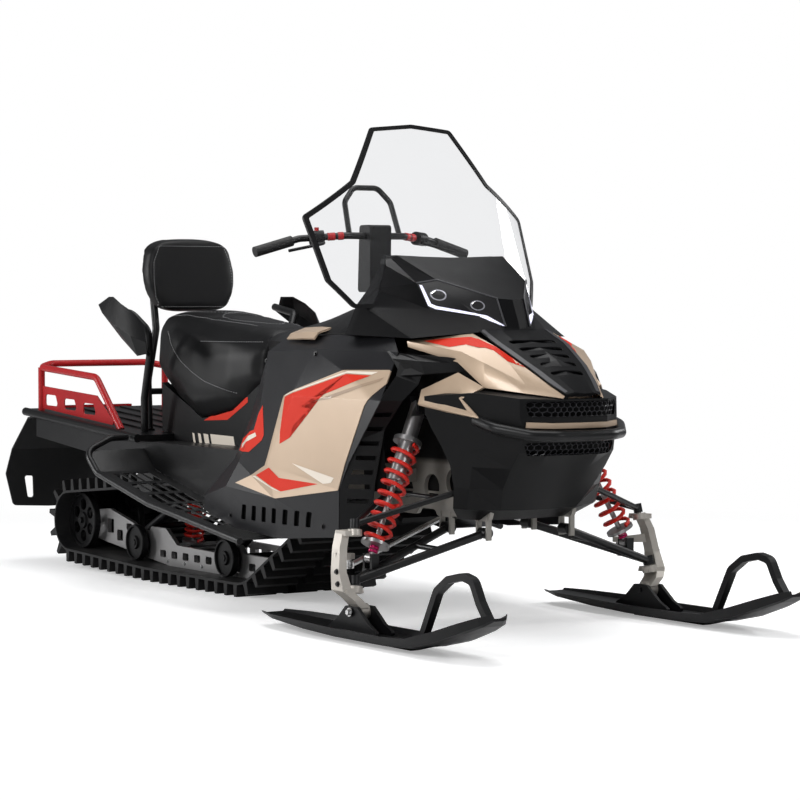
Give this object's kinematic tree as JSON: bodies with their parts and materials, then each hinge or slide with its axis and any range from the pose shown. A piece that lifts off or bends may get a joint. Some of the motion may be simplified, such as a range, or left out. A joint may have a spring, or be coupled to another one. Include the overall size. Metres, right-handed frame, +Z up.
{
  "type": "snowmobile",
  "caption": "Two-up utility snowmobile with one long rubber track, two steered skis, coil-over front suspension, tall windshield, backrest and rear cargo rack.",
  "frame": {"origin": "centre of the outer box in plan, on the ground under track and skis", "axes": "+X forward, +Y to the left of the machine, +Z up"},
  "size_m": [3.438, 1.249, 1.5369],
  "materials": {
    "black_frame": "powder coat",
    "black_plastic": "fine grain",
    "black_sheet": "powder coat",
    "cast_grey": "as cast",
    "clear_shield": "clear polycarbonate",
    "damper_silver": "satin",
    "grip_rubber": "soft grip",
    "lamp_lens": "clear lens",
    "lamp_red": "tinted lens",
    "panel_sand": "sand metallic",
    "rack_red": "powder coat",
    "rail_alloy": "extruded rail",
    "rubber_track": "moulded rubber",
    "seat_vinyl": "vinyl cover",
    "spring_red": "powder coat",
    "steel_rod": "zinc plated",
    "wheel_black": "moulded rollers"
  },
  "bodies": {
    "chassis": {"backrest_frame": "black_frame", "backrest_pad": "seat_vinyl", "belly_pan": "black_plastic", "bogie_wheels": "wheel_black", "bulkhead": "cast_grey", "bumper": "black_frame", "cargo_deck": "black_plastic", "cargo_rack": "rack_red", "console": "black_plastic", "drive_axle": "wheel_black", "engine_block": "cast_grey", "front_frames": "black_plastic", "front_shocks": "damper_silver", "front_springs": "spring_red", "grab_handles": "black_frame", "grille": "black_plastic", "hand_guards": "black_plastic", "headlamps": "lamp_lens", "hitch_tongue": "black_frame", "hood": "black_plastic", "lamp_pod": "black_plastic", "lower_arms": "black_frame", "nose_frame": "black_plastic", "nose_strip": "panel_sand", "nose_wings": "panel_sand", "rear_idlers": "wheel_black", "running_boards": "black_sheet", "seat": "seat_vinyl", "seat_base": "black_plastic", "side_inserts": "panel_sand", "side_panels": "black_plastic", "skid_arms": "black_frame", "skid_shock": "damper_silver", "skid_spring": "spring_red", "slide_rails": "rail_alloy", "snow_flap": "black_plastic", "steering_bush": "steel_rod", "tail_lamp": "lamp_red", "track": "rubber_track", "tunnel": "black_sheet", "upper_arms": "black_frame", "windshield": "clear_shield", "windshield_trim": "black_plastic"},
    "bars": {"bar_controls": "black_plastic", "grab_hoop": "black_frame", "grips": "grip_rubber", "handlebar": "black_frame", "riser": "black_plastic", "steering_post": "black_frame"},
    "ski_leg_left": {"spindle_left": "cast_grey", "ski_left": "black_plastic", "ski_loop_left": "black_plastic"},
    "tie_left": {"tie_rod_left": "steel_rod"},
    "ski_leg_right": {"spindle_right": "cast_grey", "ski_right": "black_plastic", "ski_loop_right": "black_plastic"},
    "tie_right": {"tie_rod_right": "steel_rod"}
  },
  "joints": [
    {"name": "handlebar_turn", "type": "hinge", "parent": "chassis", "child": "bars", "pos_m": [0.301, 0, 1.003], "axis": [-0.4226, 0, 0.9063], "range_deg": [-32, 32]},
    {"name": "ski_steer_left", "type": "hinge", "parent": "chassis", "child": "ski_leg_left", "pos_m": [1.023, 0.548, 0.172], "axis": [-0.1691, -0.1208, 0.9782], "range_deg": [-28.5, 28.5]},
    {"name": "tie_rod_travel_left", "type": "slide", "parent": "chassis", "child": "tie_left", "axis": [-0.3948, 0.9176, 0.0455], "range_m": [-0.0465, 0.0465]},
    {"name": "ski_steer_right", "type": "hinge", "parent": "chassis", "child": "ski_leg_right", "pos_m": [1.023, -0.548, 0.172], "axis": [-0.1691, 0.1208, 0.9782], "range_deg": [-28.5, 28.5]},
    {"name": "tie_rod_travel_right", "type": "slide", "parent": "chassis", "child": "tie_right", "axis": [-0.3948, -0.9176, 0.0455], "range_m": [-0.0465, 0.0465]}
  ],
  "couplings": [
    {"joint": "ski_steer_left", "follows": "handlebar_turn", "ratio": 0.875},
    {"joint": "tie_rod_travel_left", "follows": "handlebar_turn", "m_per_rad": -0.08085},
    {"joint": "ski_steer_right", "follows": "handlebar_turn", "ratio": 0.875},
    {"joint": "tie_rod_travel_right", "follows": "handlebar_turn", "m_per_rad": 0.08085}
  ]
}
